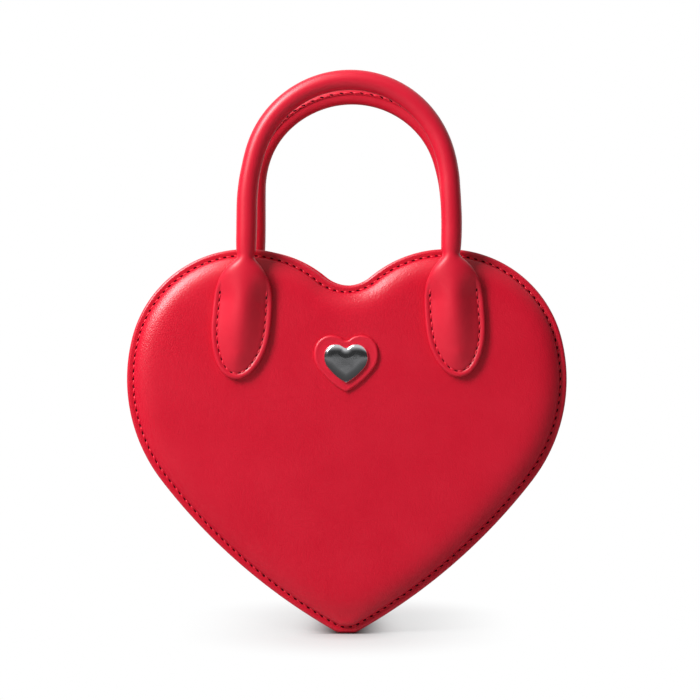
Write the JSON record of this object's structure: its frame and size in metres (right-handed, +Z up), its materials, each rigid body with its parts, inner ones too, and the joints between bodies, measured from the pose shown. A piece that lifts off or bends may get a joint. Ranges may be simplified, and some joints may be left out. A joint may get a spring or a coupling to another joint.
{
  "type": "heart shaped purse",
  "caption": "Structured heart shaped leather purse with padded panels, rolled top handles on leaf tabs and a zip over the top.",
  "frame": {"origin": "middle of the tip's flat on the surface that the bag stands on, midway between the front and rear panels", "axes": "+X to the bag's right as seen from the front, +Z up to the handles, and the front faces -Y"},
  "size_m": [0.2194, 0.099, 0.2795],
  "materials": {
    "panel_leather": "smooth fine grain, semi-matt",
    "handle_leather": "smooth fine grain, semi-matt",
    "gusset_leather": "smooth fine grain, semi-matt",
    "lining_cloth": "twill",
    "zip_tape": "herringbone tape",
    "zip_metal": "polished",
    "badge_metal": "polished",
    "board": "plain",
    "foam": "open cell foam",
    "cord": "twisted cotton"
  },
  "bodies": {
    "root": {"rear_panel": "panel_leather", "rear_foam": "foam", "rear_board": "board", "rear_lining": "lining_cloth", "slip_pocket": "lining_cloth", "lower_gusset": "gusset_leather", "gusset_lining": "lining_cloth", "rear_zip_strip": "gusset_leather", "rear_strip_lining": "lining_cloth", "rear_zip_tape": "zip_tape", "rear_zip_teeth": "zip_metal", "zip_closed_end": "zip_metal", "zip_stops": "zip_metal", "zip_end_tabs": "gusset_leather", "rear_left_tab": "handle_leather", "rear_right_tab": "handle_leather", "rear_tab_backings": "handle_leather"},
    "front_shell": {"front_panel": "panel_leather", "front_foam": "foam", "front_board": "board", "front_lining": "lining_cloth", "front_zip_strip": "gusset_leather", "front_strip_lining": "lining_cloth", "front_zip_tape": "zip_tape", "front_zip_teeth": "zip_metal", "front_left_tab": "handle_leather", "front_right_tab": "handle_leather", "front_tab_backings": "handle_leather", "badge_patch": "handle_leather", "badge_plate": "badge_metal"},
    "front_handle": {"front_handle_cover": "handle_leather", "front_handle_cord": "cord"},
    "rear_handle": {"rear_handle_cover": "handle_leather", "rear_handle_cord": "cord"},
    "zip_slider": {"zip_slider_body": "zip_metal"},
    "zip_puller": {"zip_puller_tab": "zip_metal"}
  },
  "joints": [
    {"name": "mouth_open", "type": "hinge", "parent": "root", "child": "front_shell", "pos_m": [0, -0.0324, 0], "axis": [1, 0, 0], "range_deg": [0, 10]},
    {"name": "front_handle_fold", "type": "hinge", "parent": "front_shell", "child": "front_handle", "pos_m": [0, -0.0445, 0.19104], "axis": [1, 0, 0], "range_deg": [-25, 70], "stiffness_Nm_per_rad": 0.25},
    {"name": "rear_handle_fold", "type": "hinge", "parent": "root", "child": "rear_handle", "pos_m": [0, 0.0445, 0.19104], "axis": [-1, 0, 0], "range_deg": [-25, 70], "stiffness_Nm_per_rad": 0.25},
    {"name": "zip_travel", "type": "hinge", "parent": "root", "child": "zip_slider", "pos_m": [0.04996, 0, 0.13275], "axis": [0, -1, 0], "range_deg": [0, 107]},
    {"name": "puller_swing", "type": "hinge", "parent": "zip_slider", "child": "zip_puller", "pos_m": [0.10203, 0, 0.14868], "axis": [0, -1, 0], "range_deg": [0, 170]}
  ]
}
